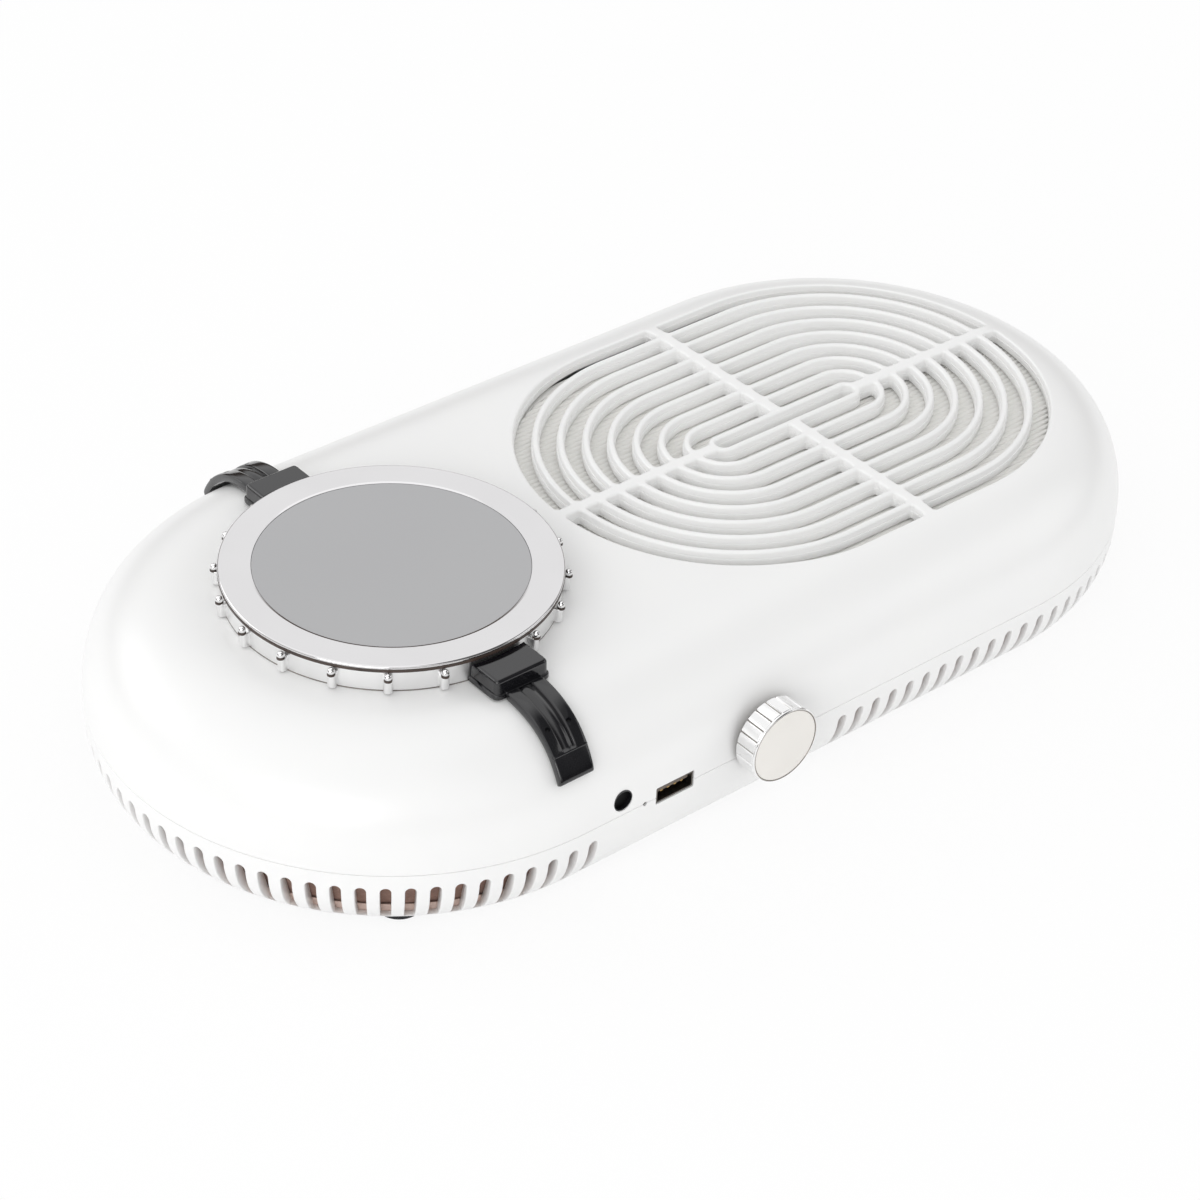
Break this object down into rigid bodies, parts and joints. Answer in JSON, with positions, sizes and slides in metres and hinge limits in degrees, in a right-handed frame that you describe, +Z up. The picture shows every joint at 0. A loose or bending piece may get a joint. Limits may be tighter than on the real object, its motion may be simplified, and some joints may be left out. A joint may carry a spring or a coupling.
{
  "type": "nail dust collector",
  "caption": "Table-top dust collector for nail work: long round-ended white body with a ribbed suction grille over a pleated filter and fan, a round display case, ports and a speed knob.",
  "frame": {"origin": "On the table, under the middle of the whole object's footprint, knob included.", "axes": "X runs along the body, with the round display at -X and the suction grille at +X. The front panel with the knob faces -Y. +Z is up."},
  "size_m": [0.36, 0.1892, 0.0664],
  "materials": {
    "body_white": "moulded, glossy white",
    "satin_white": "moulded, satin white",
    "bright_trim": "plated, polished",
    "grey_window": "smooth, even grey",
    "black_gloss": "moulded, glossy black",
    "black_satin": "moulded, satin black",
    "foot_rubber": "moulded",
    "brown_felt": "thin felt strip",
    "filter_paper": "folded filter paper",
    "foam": "closed-cell foam",
    "board": "circuit board",
    "battery_wrap": "shrink wrap",
    "steel": "bright",
    "dark_steel": "dull",
    "copper": "windings on a laminated core",
    "lens": "clear lens"
  },
  "bodies": {
    "base": {"lower_shell": "body_white", "foot_front_left": "foot_rubber", "foot_rear_left": "foot_rubber", "foot_front_right": "foot_rubber", "foot_rear_right": "foot_rubber", "exhaust_strip": "brown_felt", "main_board": "board", "mount_screw_1": "steel", "mount_screw_2": "steel", "mount_screw_3": "steel", "deck_screw_1": "steel", "board_screw_1": "steel", "deck_screw_2": "steel", "board_screw_2": "steel", "deck_screw_3": "steel", "board_screw_3": "steel", "deck_screw_4": "steel", "board_screw_4": "steel", "fan_deck": "satin_white", "usb_tongue": "satin_white", "battery_pad": "foam", "motor_mount": "dark_steel", "speed_pot": "dark_steel", "motor_stator": "copper", "bearing_low": "steel", "bearing_high": "steel", "usb_shell": "steel", "dc_jack": "black_satin", "status_led": "lens", "battery_pack": "battery_wrap"},
    "cover": {"upper_shell": "body_white", "case_ring": "bright_trim", "bezel_ring": "bright_trim", "display_window": "grey_window", "display_board": "board", "front_lug": "black_gloss", "rear_lug": "black_gloss", "front_strap": "black_gloss", "rear_strap": "black_gloss", "front_lug_screw": "steel", "rear_lug_screw": "steel", "case_screw_1": "steel", "case_screw_2": "steel", "case_screw_3": "steel"},
    "filter": {"filter_frame": "satin_white", "filter_media": "filter_paper", "filter_gasket": "foam"},
    "fan": {"impeller": "black_satin", "motor_rotor": "dark_steel", "motor_shaft": "steel"},
    "knob": {"speed_knob": "satin_white", "pot_shaft": "steel"}
  },
  "joints": [
    {"name": "cover_lift", "type": "slide", "parent": "base", "child": "cover", "axis": [0, 0, 1], "range_m": [0, 0.09]},
    {"name": "filter_lift", "type": "slide", "parent": "base", "child": "filter", "axis": [0, 0, 1], "range_m": [0, 0.045]},
    {"name": "fan_spin", "type": "hinge", "parent": "base", "child": "fan", "pos_m": [0.064, 0.0046, 0.0155], "axis": [0, 0, 1], "continuous": true},
    {"name": "knob_turn", "type": "hinge", "parent": "base", "child": "knob", "pos_m": [-0.0235, -0.0866, 0.0305], "axis": [0, 1, 0], "range_deg": [0, 300]}
  ],
  "couplings": [
    {"joint": "filter_lift", "follows": "cover_lift", "ratio": 0.45}
  ]
}
